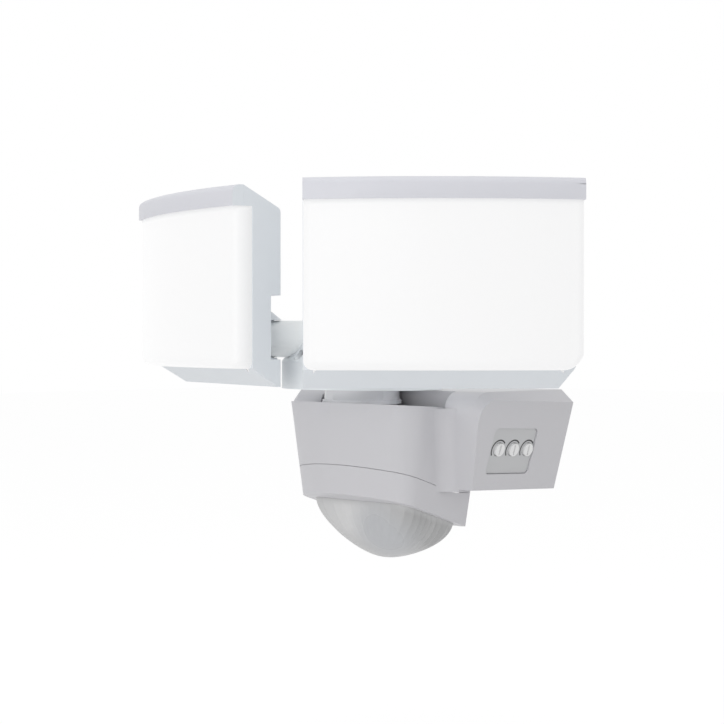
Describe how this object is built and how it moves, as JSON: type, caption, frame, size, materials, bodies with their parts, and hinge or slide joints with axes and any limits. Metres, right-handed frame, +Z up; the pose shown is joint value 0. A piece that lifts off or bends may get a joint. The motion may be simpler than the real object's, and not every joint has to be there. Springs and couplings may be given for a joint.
{
  "type": "motion sensor security light",
  "caption": "Wall light with flat opal lamp heads on pan and tilt swivels over a wall box with a domed motion sensor and side trim dials.",
  "frame": {"origin": "middle of the wall plate's back face, on the wall", "axes": "+Z up, +Y into the wall, +X towards the side with the dials"},
  "size_m": [0.3032, 0.1799, 0.2107],
  "materials": {
    "white_plastic": "satin moulded",
    "visor_plastic": "satin moulded",
    "panel_plastic": "matt",
    "knob_plastic": "gloss",
    "neck_plastic": "gloss",
    "opal_plastic": "opal, lit from behind",
    "lens_plastic": "milky, moulded with facets",
    "rubber": "matt",
    "terminal_plastic": "gloss",
    "steel": "zinc plated",
    "can_metal": "plated",
    "circuit_board": "solder resist",
    "components": "moulded",
    "aluminium": "rolled",
    "led": "phosphor"
  },
  "bodies": {
    "base": {"housing_shell": "white_plastic", "wall_plate": "white_plastic", "cable_grommet": "rubber", "terminal_block": "terminal_plastic", "housing_screws": "steel", "driver_board": "circuit_board", "driver_parts": "components", "sensor_bezel": "white_plastic", "sensor_lens": "lens_plastic", "sensor_board": "circuit_board", "pir_sensor": "can_metal", "control_panel": "panel_plastic", "trim_pots": "components", "control_board": "circuit_board", "neck": "neck_plastic", "neck_nut": "neck_plastic", "carrier_shell": "white_plastic", "carrier_base": "white_plastic", "carrier_screws": "steel", "clamp_screws": "steel", "left_arm": "white_plastic", "right_arm": "white_plastic"},
    "left_knuckle": {"left_swivel": "white_plastic", "left_pan_pin": "steel"},
    "left_head": {"left_tilt_pin": "steel", "left_rear_shell": "white_plastic", "left_visor": "visor_plastic", "left_diffuser": "opal_plastic", "left_led_board": "circuit_board", "left_heat_spreader": "aluminium", "left_led_chips": "led", "left_head_screws": "steel"},
    "right_knuckle": {"right_swivel": "white_plastic", "right_pan_pin": "steel"},
    "right_head": {"right_tilt_pin": "steel", "right_rear_shell": "white_plastic", "right_visor": "visor_plastic", "right_diffuser": "opal_plastic", "right_led_board": "circuit_board", "right_heat_spreader": "aluminium", "right_led_chips": "led", "right_head_screws": "steel"},
    "time_dial": {"time_knob": "knob_plastic"},
    "sensitivity_dial": {"sensitivity_knob": "knob_plastic"},
    "lux_dial": {"lux_knob": "knob_plastic"}
  },
  "joints": [
    {"name": "right_pan", "type": "hinge", "parent": "base", "child": "right_knuckle", "pos_m": [0.03748, -0.13348, 0.0585], "axis": [0, 0, 1], "range_deg": [-34, 6]},
    {"name": "right_tilt", "type": "hinge", "parent": "right_knuckle", "child": "right_head", "pos_m": [0.04683, -0.14251, 0.0585], "axis": [0.6947, 0.7193, 0], "range_deg": [-15, 25]},
    {"name": "left_pan", "type": "hinge", "parent": "base", "child": "left_knuckle", "pos_m": [-0.03748, -0.13348, 0.0585], "axis": [0, 0, -1], "range_deg": [-6, 34]},
    {"name": "left_tilt", "type": "hinge", "parent": "left_knuckle", "child": "left_head", "pos_m": [-0.04149, -0.14584, 0.0585], "axis": [0.9511, -0.309, 0], "range_deg": [-15, 25]},
    {"name": "time_turn", "type": "hinge", "parent": "base", "child": "time_dial", "pos_m": [0.0704, -0.05646, -0.0035], "axis": [0.9616, -0.011, -0.2742], "range_deg": [-135, 135]},
    {"name": "sensitivity_turn", "type": "hinge", "parent": "base", "child": "sensitivity_dial", "pos_m": [0.0704, -0.04417, -0.00399], "axis": [0.9616, -0.011, -0.2742], "range_deg": [-135, 135]},
    {"name": "lux_turn", "type": "hinge", "parent": "base", "child": "lux_dial", "pos_m": [0.0704, -0.03188, -0.00448], "axis": [0.9616, -0.011, -0.2742], "range_deg": [-135, 135]}
  ]
}
